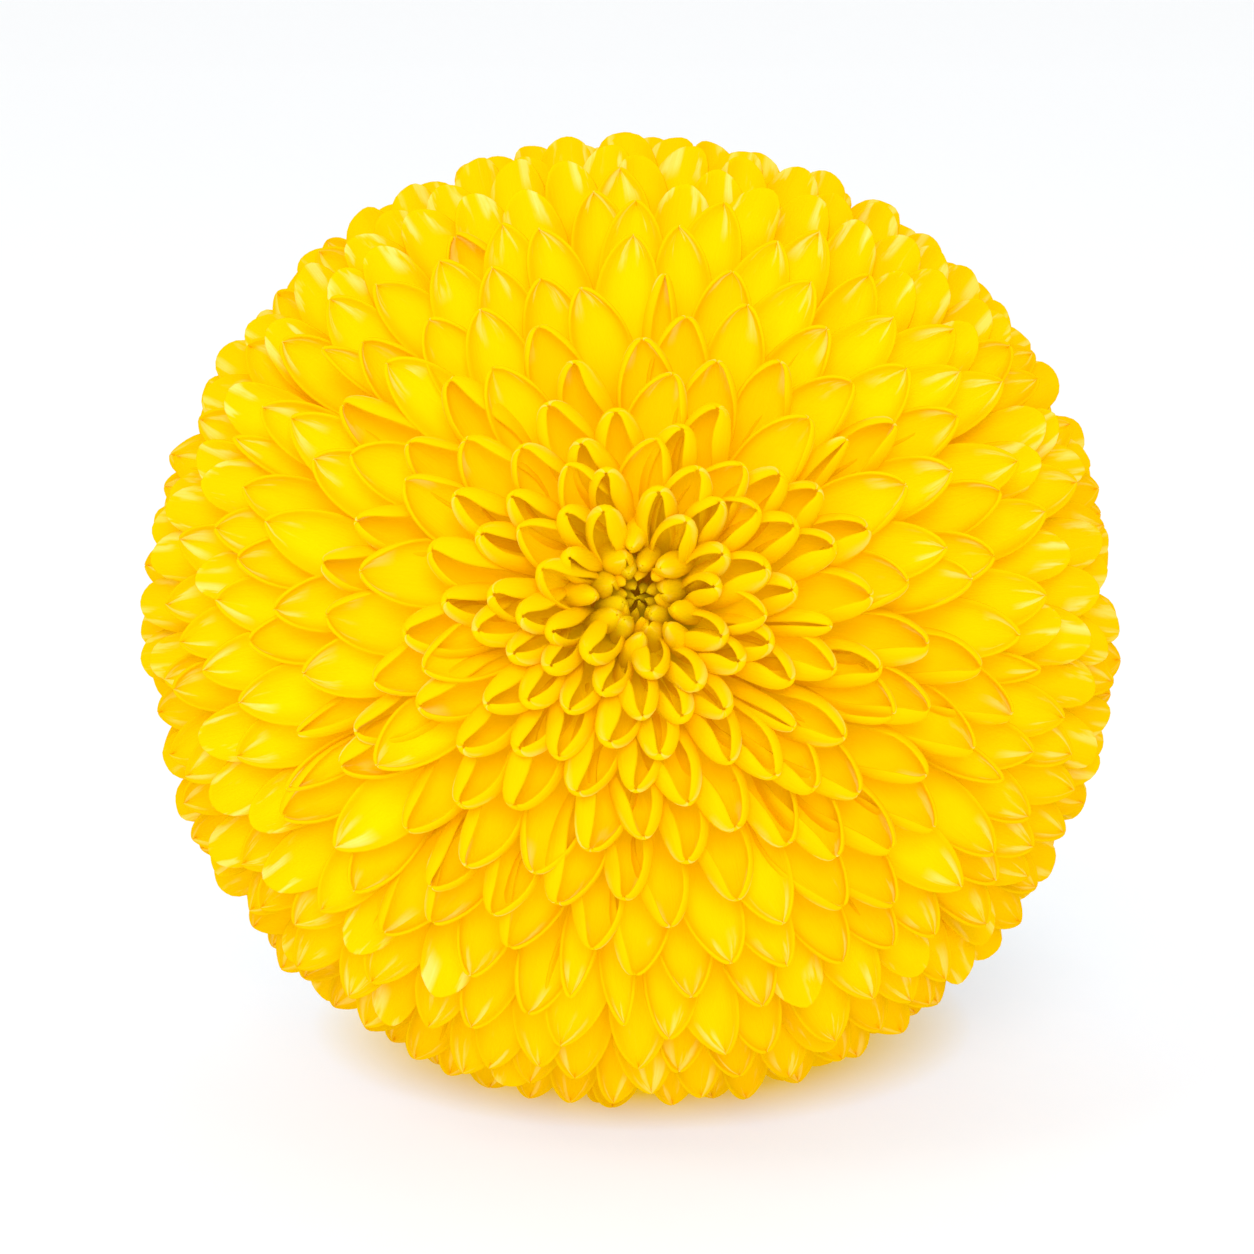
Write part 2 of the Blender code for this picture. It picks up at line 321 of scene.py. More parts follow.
@dataclass(frozen=True)
class PetalShape:
    """How one petal differs from the plain one of its belt.

    Lean is in degrees, and so is youth: how much nearer to the middle its roll would be usual.
    The rest are shares.
    """

    tip: Tip
    width: float
    closing: float
    twist: float
    drift: float
    wave: float
    notch: float = 0.0
    lean: float = 0.0
    hood: float = 1.0
    youth: float = 0.0


# In both rows the plain shapes come first, then three rolled ones, then the quilled one.
FACE_SHAPES = (
    PetalShape(Tip.HOODED, 1.0, 1.0, 0.08, 0.05, 0.06),
    PetalShape(Tip.HOODED, 1.08, 0.86, -0.14, -0.08, 0.1, lean=3.0, hood=0.9),
    PetalShape(Tip.HOODED, 0.96, 1.02, 0.05, 0.2, 0.14, lean=-2.0),
    PetalShape(Tip.HOODED, 1.04, 0.78, -0.05, -0.14, 0.12, lean=2.0, hood=0.7),
    PetalShape(Tip.HOODED, 0.92, 1.03, 0.22, 0.14, 0.12, lean=-4.0, youth=13.0),
    PetalShape(Tip.HOODED, 1.04, 0.96, -0.24, -0.16, 0.1, lean=4.0, youth=19.0),
    PetalShape(Tip.HOODED, 0.96, 0.98, 0.16, 0.1, 0.12, lean=-5.0, hood=0.7, youth=16.0),
    PetalShape(Tip.HOODED, 0.62, 1.15, 0.4, 0.3, 0.05, lean=-4.0, youth=10.0),
)
EDGE_SHAPES = (
    PetalShape(Tip.OPEN, 0.98, 0.95, 0.06, 0.04, 0.06, 1.0),
    PetalShape(Tip.OPEN, 0.96, 1.05, 0.2, 0.12, 0.12, 0.7, lean=-4.0),
    PetalShape(Tip.OPEN, 1.04, 0.85, -0.2, -0.12, 0.08, 0.6, lean=2.0),
    PetalShape(Tip.OPEN, 1.0, 1.0, 0.05, 0.08, 0.14, 1.2, lean=-5.0),
    PetalShape(Tip.HOODED, 1.08, 1.0, -0.12, -0.08, 0.08, lean=3.0, hood=0.6, youth=14.0),
    PetalShape(Tip.HOODED, 1.04, 1.0, 0.16, 0.12, 0.1, lean=3.0, hood=0.5, youth=10.0),
    PetalShape(Tip.HOODED, 0.98, 1.1, -0.16, -0.12, 0.1, lean=-3.0, hood=0.8, youth=18.0),
    PetalShape(Tip.HOODED, 0.6, 1.5, 0.4, 0.26, 0.05, lean=-4.0),
)


@dataclass(frozen=True)
class PetalPattern:
    """The rule that gives a petal its form from its polar angle.

    A petal is a small grid: columns run across it, rows along it. Its midline lies in the
    meridian plane. Across, the grid follows an arc whose edges turn in. The tables are read
    at a polar angle in degrees, and angles in them are in degrees too.
    """

    core_radius: float = 23.6 * MM
    core_sink: float = 3.0 * MM
    dimple_depth: float = 2.6 * MM
    dimple_polar: float = math.radians(6.5)
    claw_start: Pair = (8.6 * MM, -11.8 * MM)
    claw_polar: float = math.radians(98.0)
    claw_width: float = 0.32
    claw_widens: Pair = (0.1, 0.7)
    claw_closing: float = 0.6
    claw_opens: Pair = (0.25, 0.6)
    tube_polar: float = math.radians(8.8)
    edge_polar: float = math.radians(52.0)
    most_closing: float = math.radians(179.0)
    open_closing: float = 0.7
    least_width: float = 0.06
    wave_count: float = 11.0
    wave_lag: float = 1.5
    setback: float = 0.35
    crease_width: float = 0.25
    crease_from: Pair = (0.6, 0.95)
    arc_steps: int = 48
    columns: Floats = (-1.0, -0.76, -0.4, 0.0, 0.4, 0.76, 1.0)
    rows: Floats = (0.0, 0.4, 0.62, 0.76, 0.86, 0.93, 0.98, 1.0)
    tip_shift: Table = (
        (0, 0.0), (3.5, -0.9), (4.4, -1.2), (8.2, -2.5), (8.8, 1.8), (12, 2.2), (17, 1.2), (24, 0.0),
        (139, 0.0),
    )
    lean: Table = (
        (0, -26), (3, -37), (8.2, -44), (8.8, 18), (10, 23), (13, 29), (16, 32), (22, 36), (35, 41),
        (55, 43), (80, 47), (110, 47), (138, 34),
    )
    bend_reach: Table = ((0, 0.5), (8.2, 0.68), (8.8, 0.9), (12, 0.95), (139, 0.95))
    half_width: Table = (
        (0, 0.6), (3.5, 0.64), (4.4, 0.6), (8.2, 0.57), (8.8, 0.62), (13, 0.58), (22, 0.55), (35, 0.54),
        (55, 0.52), (80, 0.49), (139, 0.47),
    )
    closing: Table = (
        (0, 176), (8.2, 174), (8.8, 160), (12, 150), (17, 144), (22, 140), (28, 130), (34, 104), (40, 82),
        (48, 72), (60, 66), (75, 62), (90, 58), (139, 50),
    )
    tip_closing: Table = (
        (0, 179), (8.2, 178), (8.8, 164), (13, 157), (18, 153), (24, 152), (30, 145), (38, 118), (46, 94),
        (58, 78), (80, 62), (139, 50),
    )
    roll_power: Table = (
        (0, 0.9), (8.2, 0.8), (8.8, 1.0), (17, 0.95), (24, 0.9), (35, 0.85), (60, 0.8), (139, 0.9),
    )
    flatness: Table = (
        (0, 0.66), (3.5, 0.72), (4.4, 0.9), (8.2, 0.92), (8.8, 0.76), (13, 0.74), (22, 0.68), (32, 0.64),
        (43, 0.6), (60, 0.54), (139, 0.5),
    )
    tip_lift: Table = ((0, 0.35), (8.2, 0.4), (8.8, 0.7), (28, 0.75), (40, 0.65), (50, 0.35), (139, 0.2))
    shoulder: Table = (
        (0, 0.5), (3.5, 0.52), (4.4, 0.64), (8.2, 0.66), (8.8, 0.8), (14, 0.78), (22, 0.76), (35, 0.74),
        (139, 0.72),
    )
    bluntness: Table = (
        (0, 1.6), (3.5, 1.6), (4.4, 1.8), (8.2, 1.9), (8.8, 2.2), (16, 2.15), (30, 2.0), (43, 1.9),
        (139, 1.85),
    )
    crease: Table = ((0, -0.04), (8.2, -0.12), (8.8, 0.06), (22, 0.12), (30, 0.17), (43, 0.2), (139, 0.18))
    nose_length: Table = ((0, 0.3), (50, 0.32), (139, 0.3))
    hood_from: Table = ((0, 0.7), (8.8, 0.72), (22, 0.74), (35, 0.78), (139, 0.78))
    hood_to: Table = ((0, 0.97), (8.8, 0.92), (22, 0.95), (35, 0.99), (139, 0.99))

    def tip_polar(self, polar: float) -> float:
        """Polar angle of a petal's tip: buds reach inwards from their seat, tubes outwards."""
        return polar + math.radians(look_up(self.tip_shift, polar))

    def tip_radius(self, polar: float) -> float:
        """How far from the globe's middle the petals reach: a little less in the dimple."""
        return GLOBE_RADIUS - self.dimple_depth * bump(polar, self.dimple_polar)

    def midline(self, polar: float, lean_change: float) -> list[np.ndarray]:
        """Root, bend and tip of a petal in the meridian plane.

        Args:
            polar: Polar angle of the petal's seat.
            lean_change: How much more than the plain petal it leans out, in degrees.

        Returns:
            The three control points.
        """
        lean = math.radians(look_up(self.lean, polar) + lean_change)
        tip_polar = self.tip_polar(polar)
        tip_radius = self.tip_radius(tip_polar)
        tip = meridian(tip_radius, tip_polar)
        reach = (tip_radius - self.core_radius) * look_up(self.bend_reach, polar) / max(math.cos(lean), 0.5)
        bend = tip - meridian(reach, tip_polar + lean)
        root = meridian(self.core_radius - self.core_sink, math.atan2(*bend))
        claw = min(max((polar - self.claw_polar) / (LAST_POLAR - self.claw_polar), 0.0), 1.0) ** 0.5
        return [root * (1.0 - claw) + np.array(self.claw_start) * claw, bend, tip]

    def section(self, closing: float, power: float, side: float) -> Pair:
        """A point of the arc across a petal, of half width 1 where it is widest.

        Args:
            closing: How far the edge has turned in, in radians.
            power: How much of the turn is at the edge.
            side: Where to read the arc, from -1 to 1.

        Returns:
            Its offsets across the petal and towards the flower's axis.
        """
        steps = np.linspace(0.0, 1.0, self.arc_steps + 1)
        turn = closing * steps ** power
        middles = (turn[1:] + turn[:-1]) / 2.0
        run, rise = (np.concatenate([[0.0], np.cumsum(part)]) for part in (np.cos(middles), np.sin(middles)))
        across, towards = (float(np.interp(abs(side), steps, part) / run.max()) for part in (run, rise))
        return math.copysign(1.0, side) * across, towards

    def width_share(self, tip: Tip, place: float, polar: float) -> float:
        """The width of a petal, a narrow claw and then the blade.

        Args:
            tip: How the petal ends.
            place: Share of its length.
            polar: Polar angle of its seat.

        Returns:
            The width there as a share of the full width.
        """
        claw = self.claw_width + (1.0 - self.claw_width) * ease(*self.claw_widens, place)
        if tip is Tip.OPEN:
            return claw
        shoulder, bluntness = look_up(self.shoulder, polar), look_up(self.bluntness, polar)
        taper = max((place - shoulder) / (1.0 - shoulder), 0.0)
        return claw * max((1.0 - taper ** bluntness) ** (1.2 / bluntness), self.least_width)

    def nose(self, polar: float, side: float, shape: PetalShape) -> float:
        """How much shorter than the middle a column of an open petal is, with its small teeth.

        Args:
            polar: Polar angle of the petal's seat.
            side: The column's place across.
            shape: The petal's own deviations.

        Returns:
            A share of the length.
        """
        if shape.tip is Tip.HOODED:
            return 0.0
        reach = abs(side)
        rounded = look_up(self.nose_length, polar) * (1.0 - (1.0 - (0.98 * reach) ** 2.1) ** 0.6)
        return rounded + 0.035 * shape.notch * bump(reach - 0.34, 0.14) + 0.02 * bump(reach, 0.15)

    def grid(self, polar: float, spacing: float, shape: PetalShape) -> np.ndarray:
        """The corners of a petal's grid, for an azimuth of 0.

        Args:
            polar: Polar angle of the petal's seat.
            spacing: Distance to the neighbouring seats.
            shape: The petal's own deviations.

        Returns:
            An array of rows by columns by 3.
        """
        midline = self.midline(polar, shape.lean)
        half_width = look_up(self.half_width, polar) * spacing * shape.width
        habit = max(polar - math.radians(shape.youth), min(polar, self.tube_polar))
        closing = min(math.radians(look_up(self.closing, habit)) * shape.closing, self.most_closing)
        hooded = math.radians(look_up(self.tip_closing, habit)) * (1.0 + shape.closing) / 2.0
        end_closing = closing + (min(hooded, self.most_closing) - closing) * shape.hood
        if shape.tip is Tip.OPEN:
            end_closing = self.open_closing * closing
        power, flatness = look_up(self.roll_power, habit), look_up(self.flatness, habit)
        rim_rise = half_width * flatness * self.section(closing, power, 1.0)[1]
        lift = look_up(self.tip_lift, habit) * rim_rise * shape.hood
        shoulder = look_up(self.shoulder, polar)
        hood = look_up(self.hood_from, polar), look_up(self.hood_to, polar)
        crease = look_up(self.crease, polar) * half_width
        points = np.zeros((len(self.rows), len(self.columns), 3))
        for row, share in enumerate(self.rows):
            for column, side in enumerate(self.columns):
                place = share * (1.0 - self.nose(polar, side, shape))
                spot, heading = curve(*midline, place)
                swell = half_width * self.width_share(shape.tip, place, polar)
                closed_claw = (self.most_closing - closing) * self.claw_closing
                shut = closing + closed_claw * (1.0 - ease(*self.claw_opens, place))
                shut += (end_closing - shut) * ease(*hood, place)
                shut *= 1.0 + shape.wave * math.sin(self.wave_count * place + self.wave_lag * side)
                across, towards = self.section(min(shut, self.most_closing), power, side)
                end_share = max((place - shoulder) / (1.0 - shoulder), 0.0)
                bow = 1.0 - math.sqrt(1.0 - min(end_share, 0.998) ** 2)
                height = towards * swell * flatness + lift * bow
                height -= crease * bump(side, self.crease_width) * ease(*self.crease_from, place)
                back = self.setback * lift * bow * bow
                sine, cosine = math.sin(shape.twist * place), math.cos(shape.twist * place)
                turned_in = across * swell * sine + height * cosine
                points[row, column] = (
                    spot[0] - heading[1] * turned_in - heading[0] * back,
                    across * swell * cosine - height * sine + shape.drift * half_width * 2.0 * place * place,
                    spot[1] + heading[0] * turned_in - heading[1] * back,
                )
        tip_polar = self.tip_polar(polar)
        overshoot = float(np.linalg.norm(points, axis=2).max()) - self.tip_radius(tip_polar)
        return points - overshoot * np.array([math.sin(tip_polar), 0.0, math.cos(tip_polar)])

    def cages(self, class_polars: Floats, kinds: int, spiral: Spiral) -> list[Mesh]:
        """One grid for every class of polar angle and every petal shape.

        Args:
            class_polars: The classes, in degrees.
            kinds: How many of the shapes to use.
            spiral: Where the petals sit.

        Returns:
            The grids as meshes, the shapes of the first class first.
        """
        made = []
        for polar in map(math.radians, class_polars):
            for shape in (FACE_SHAPES if polar < self.edge_polar else EDGE_SHAPES)[:kinds]:
                grid = self.grid(polar, spiral.spacing(polar), shape)
                made.append(woven("petal", grid, self.columns, self.rows))
        return made


class Nodes:
    """Short forms for building a node tree."""

    def __init__(self, tree: bpy.types.NodeTree) -> None:
        """Remember the tree that the nodes go into."""
        self.tree = tree

    def feed(self, source: object, target: Socket) -> None:
        """Link a socket to an input, or set the input to a value.

        Args:
            source: A socket, number, name or colour.
            target: The input.
        """
        if isinstance(source, Socket):
            self.tree.links.new(source, target)
        elif isinstance(source, tuple) and target.type == "RGBA":
            target.default_value = (*source, 1.0)
        else:
            target.default_value = source

    def fill(self, node: Node, inputs: Inputs) -> None:
        """Feed some of a node's inputs, by their labels or places."""
        for label, source in inputs.items():
            self.feed(source, node.inputs[label])

    def make(self, kind: str, inputs: Inputs | None = None, **properties: object) -> Node:
        """A new node.

        Args:
            kind: Blender's name for the type of node.
            inputs: What feeds its inputs, by their labels or places.
            properties: Its settings by name.

        Returns:
            The node.
        """
        node = self.tree.nodes.new(kind)
        for name, value in properties.items():
            setattr(node, name, value)
        self.fill(node, inputs or {})
        return node

    def out(self, kind: str, inputs: Inputs | None = None, **properties: object) -> Socket:
        """The first output of a new node."""
        return self.make(kind, inputs, **properties).outputs[0]

    def math(self, operation: str, first: object, second: object = 0.0) -> Socket:
        """A Math node's result."""
        return self.out("ShaderNodeMath", {0: first, 1: second}, operation=operation)

    def times(self, *factors: object) -> Socket:
        """The product of sockets and numbers."""
        return reduce(lambda product, factor: self.math("MULTIPLY", product, factor), factors)

    def mix(self, share: object, first: object, second: object) -> Socket:
        """A colour between two colours."""
        inputs = {"Factor": share, "A": first, "B": second}
        return self.make("ShaderNodeMix", inputs, data_type="RGBA").outputs["Result"]

    def span(
        self, value: object, low: float, high: float, to_low: float = 0.0, to_high: float = 1.0
    ) -> Socket:
        """A value mapped smoothly from one range to another."""
        inputs = {"Value": value, "From Min": low, "From Max": high, "To Min": to_low, "To Max": to_high}
        return self.out("ShaderNodeMapRange", inputs, interpolation_type="SMOOTHSTEP")

    def attribute(self, name: str) -> Socket:
        """A number that the surface carries under a name."""
        return self.make("ShaderNodeAttribute", attribute_name=name).outputs["Fac"]

    def noise(self, place: Socket, scale: object, detail: float) -> Socket:
        """Soft noise at a place."""
        return self.out("ShaderNodeTexNoise", {"Vector": place, "Scale": scale, "Detail": detail})

    def ramp(self, value: object, stops: Stops) -> Socket:
        """A colour read from a ramp.

        Args:
            value: Where to read it, from 0 to 1.
            stops: Places and colours.

        Returns:
            The colour.
        """
        node = self.make("ShaderNodeValToRGB", {"Fac": value})
        elements = node.color_ramp.elements
        while len(elements) < len(stops):
            elements.new(0.5)
        for element, (position, colour) in zip(elements, stops):
            element.position = position
            element.color = (*colour, 1.0)
        return node.outputs["Color"]


class Group(Nodes):
    """A node tree of its own, with named inputs and outputs."""

    def __init__(self, name: str, kind: str, inputs: dict[str, str], outputs: dict[str, str]) -> None:
        """Make the tree and its sockets.

        Args:
            name: The tree's name.
            kind: Blender's name for the type of tree.
            inputs: The kind of each input by its label.
            outputs: The kind of each output by its label.
        """
        super().__init__(bpy.data.node_groups.new(name, kind))
        self.identifiers: dict[str, str] = {}
        for way, sockets in (("INPUT", inputs), ("OUTPUT", outputs)):
            for label, carried in sockets.items():
                made = self.tree.interface.new_socket(label, in_out=way, socket_type=f"NodeSocket{carried}")
                self.identifiers[label] = made.identifier
        self.given = self.make("NodeGroupInput").outputs
        self.result = self.make("NodeGroupOutput").inputs


@dataclass
class Seats:
    """A list of seats, each with its turn, shape and place in the coat."""

    turns: list[float] = field(default_factory=list)
    shapes: list[int] = field(default_factory=list)
    depths: list[float] = field(default_factory=list)

    def add(
        self, azimuth: float, shape: int, nudge: float = 0.0, depth: float = 0.0, spin: float = 0.0,
        spin_polar: float = 0.0,
    ) -> None:
        """Add one seat.

        Args:
            azimuth: Turn about the flower's axis.
            shape: Index of the shape that it carries.
            nudge: Small turn about the globe's middle, towards the back.
            depth: The seat's polar angle as a share of the coat.
            spin: Turn about the line from the globe's middle to the shape.
            spin_polar: Polar angle of that line.
        """
        line = Vector((math.sin(spin_polar), 0.0, math.cos(spin_polar)))
        turn = Matrix.Rotation(azimuth, 3, "Z") @ Matrix.Rotation(nudge, 3, "Y")
        self.turns.extend((turn @ Matrix.Rotation(spin, 3, line)).to_euler("XYZ"))
        self.shapes.append(shape)
        self.depths.append(depth)

    def mesh(self, name: str) -> Mesh:
        """The seats as loose points.

        Args:
            name: The mesh's name.

        Returns:
            A mesh whose points carry turn, shape and depth as attributes.
        """
        points = bpy.data.meshes.new(name)
        points.from_pydata([(0.0, 0.0, 0.0)] * len(self.shapes), [], [])
        for label, kind, key, values in (
            ("seat_turn", "FLOAT_VECTOR", "vector", self.turns),
            ("seat_shape", "INT", "value", self.shapes),
            ("seat_depth", "FLOAT", "value", self.depths),
        ):
            points.attributes.new(label, kind, "POINT").data.foreach_set(key, values)
        return points


@dataclass(frozen=True)
class Growth:
    """What a coat of repeats stands for, how it varies, and how its walls are finished."""

    node: str
    slot: str
    sway: float
    size_spread: float
    seed: int
    thickness: float
    wall_side: float
    levels: int


class SeatTree(Group):
    """The node tree that sets one shape of a collection on each seat."""

    def __init__(self) -> None:
        """Build the tree once; every coat of repeats uses it."""
        super().__init__("spiral seats", "GeometryNodeTree", {
            "Seats": "Geometry", "Shapes": "Collection", "Sway": "Float", "Size Spread": "Float",
            "Seed": "Int", "Finish": "Material",
        }, {"Coat": "Geometry"})
        self._coat()

    def _random(self, low: float, offset: int) -> Socket:
        """A random value up to 1 for each seat, with its own offset from the tree's seed."""
        seed = self.out("FunctionNodeIntegerMath", {0: self.given["Seed"], 1: offset}, operation="ADD")
        return self.make("FunctionNodeRandomValue", {2: low, 3: 1.0, "Seed": seed}, data_type="FLOAT").outputs[1]

    def _attribute(self, name: str, kind: str) -> Socket:
        """A named attribute of the seats."""
        return self.out("GeometryNodeInputNamedAttribute", {"Name": name}, data_type=kind)

    def _coat(self) -> None:
        """Instances on the seats, turned, sized, tinted, realised and dressed."""
        sway = self.times(self._random(-1.0, 1), self.given["Sway"])
        size = self.math("ADD", self.times(self._random(-1.0, 2), self.given["Size Spread"]), 1.0)
        eulers = self._attribute("seat_turn", "FLOAT_VECTOR"), self.out("ShaderNodeCombineXYZ", {"Z": sway})
        turns = {
            place: self.out("FunctionNodeEulerToRotation", {0: euler}) for place, euler in enumerate(eulers)
        }
        coat = self.out("GeometryNodeInstanceOnPoints", {
            "Points": self.given["Seats"],
            "Instance": self.out("GeometryNodeCollectionInfo", {
                "Collection": self.given["Shapes"], "Separate Children": True, "Reset Children": True,
            }),
            "Pick Instance": True,
            "Instance Index": self._attribute("seat_shape", "INT"),
            "Rotation": self.out("FunctionNodeRotateRotation", turns, rotation_space="GLOBAL"),
            "Scale": self.out("ShaderNodeCombineXYZ", dict.fromkeys("XYZ", size)),
        })
        coat = self.out("GeometryNodeStoreNamedAttribute", {
            "Geometry": coat, "Name": "tone", "Value": self._random(0.0, 3),
        }, domain="INSTANCE", data_type="FLOAT")
        coat = self.out("GeometryNodeRealizeInstances", {"Geometry": coat})
        coat = self.out("GeometryNodeSetMaterial", {"Geometry": coat, "Material": self.given["Finish"]})
        self.feed(coat, self.result["Coat"])

    def grow(
        self, name: str, seats: Seats, shapes: list[Mesh], finish: Material, growth: Growth, pose: BloomPose,
        turn: int = 0,
    ) -> None:
        """Set the shapes on the seats, lay the coat down, give it walls and hand it over.

        Args:
            name: The piece's name.
            seats: Where each shape goes.
            shapes: The shapes, in the order of their indices.
            finish: The material.
            growth: How the coat varies and how it is finished.
            pose: Where the bloom lies.
            turn: What is added to the seed.
        """
        shelf = bpy.data.collections.new(f"{name}_shapes")
        for index, shape in enumerate(shapes):
            shelf.objects.link(bpy.data.objects.new(f"shape_{index:03d}", shape))
        coat = link(name, seats.mesh(name))
        modifier = coat.modifiers.new("seats", "NODES")
        modifier.node_group = self.tree
        for label, value in {
            "Shapes": shelf, "Sway": growth.sway, "Size Spread": growth.size_spread,
            "Seed": growth.seed + turn, "Finish": finish,
        }.items():
            modifier[self.identifiers[label]] = value
        bake(coat)
        for shape in list(shelf.objects):
            bpy.data.objects.remove(shape, do_unlink=True)
        bpy.data.collections.remove(shelf)
        pose.lay_down(coat.data)
        wall = coat.modifiers.new("wall", "SOLIDIFY")
        wall.thickness = growth.thickness
        wall.offset = growth.wall_side
        smooth = coat.modifiers.new("smooth", "SUBSURF")
        smooth.levels = smooth.render_levels = growth.levels
        hand_over(coat, growth.node, finish)


@dataclass(frozen=True)
class Blade:
    """What a finish reads from a petal or bract: places on it, its tone and its fine lines."""

    side: Socket
    along: Socket
    tone: Socket
    line: Socket
    breakup: Socket


class EffectGroups:
    """The effects that more than one finish uses, each built once as a node group."""

    def __init__(self) -> None:
        """Build both groups."""
        self.veins = self._veins()
        self.mottle = self._mottle()

    def _veins(self) -> bpy.types.NodeTree:
        """Fine lines and broader streaks that run along a petal or bract, from its UV map.

        Returns:
            The group.
        """
        group = Group("veins along a blade", "ShaderNodeTree", {
            "UV": "Vector", "Shift": "Float", "Lines": "Float", "Length": "Float",
        }, {"Line": "Float", "Breakup": "Float"})
        across, along = group.make("ShaderNodeSeparateXYZ", {0: group.given["UV"]}).outputs[:2]
        stretched = group.out("ShaderNodeCombineXYZ", {
            0: group.times(across, group.given["Lines"]),
            1: group.times(along, group.given["Length"]),
            2: group.times(group.given["Shift"], 37.0),
        })
        broad = group.out("ShaderNodeVectorMath", {0: stretched, 1: (0.12, 1.3, 1.0)}, operation="MULTIPLY")
        group.feed(group.span(group.noise(stretched, 1.0, 2.0), 0.3, 0.7), group.result["Line"])
        group.feed(group.span(group.noise(broad, 1.0, 3.0), 0.38, 0.66), group.result["Breakup"])
        return group.tree

    def _mottle(self) -> bpy.types.NodeTree:
        """Soft uneven patches and a fine grain over any piece, from Object coordinates.

        Returns:
            The group.
        """
        group = Group("mottled tissue", "ShaderNodeTree", {
            "Patch Scale": "Float", "Grain Scale": "Float",
        }, {"Patch": "Float", "Grain": "Float"})
        place = group.make("ShaderNodeTexCoord").outputs["Object"]
        for label, detail in (("Patch", 2.0), ("Grain", 4.0)):
            noise = group.noise(place, group.given[f"{label} Scale"], detail)
            group.feed(group.span(noise, 0.3, 0.7), group.result[label])
        return group.tree

    def blade(self, nodes: Nodes, lines: float) -> Blade:
        """Read a petal's or bract's places, tone and lines in its material.

        Args:
            nodes: The helper for the material's nodes.
            lines: How many fine lines run along it.

        Returns:
            The sockets.
        """
        uv = nodes.out("ShaderNodeUVMap", uv_map="UVMap")
        across, along = nodes.make("ShaderNodeSeparateXYZ", {0: uv}).outputs[:2]
        tone = nodes.attribute("tone")
        side = nodes.math("ABSOLUTE", nodes.math("SUBTRACT", nodes.times(across, 2.0), 1.0))
        veins = nodes.make("ShaderNodeGroup", node_tree=self.veins)
        nodes.fill(veins, {"UV": uv, "Shift": tone, "Lines": lines, "Length": 2.5})
        return Blade(side, along, tone, *veins.outputs)


@dataclass(frozen=True)
class Finish:
    """What every plant finish has: its name and how its surface takes light."""

    name: str
    roughness: float
    subsurface: float
    scatter_radius: float
    specular: float

    def start(self) -> tuple[Material, Nodes, Node]:
        """A new material with its constants on the shader's own sockets.

        Returns:
            The material, the helper for its nodes and its Principled shader.
        """
        material = bpy.data.materials.new(self.name)
        material.use_nodes = True
        shader = material.node_tree.nodes["Principled BSDF"]
        nodes = Nodes(material.node_tree)
        nodes.fill(shader, {
            "Roughness": self.roughness,
            "Metallic": 0.0,
            "Specular IOR Level": self.specular,
            "Subsurface Weight": self.subsurface,
            "Subsurface Radius": (1.0, 0.6, 0.12),
            "Subsurface Scale": self.scatter_radius,
        })
        return material, nodes, shader

    def relief(self, nodes: Nodes, shader: Node, height: Socket, strength: float, distance: float) -> None:
        """Give the surface a bump from a height."""
        inputs = {"Strength": strength, "Distance": distance, "Height": height}
        nodes.feed(nodes.out("ShaderNodeBump", inputs), shader.inputs["Normal"])


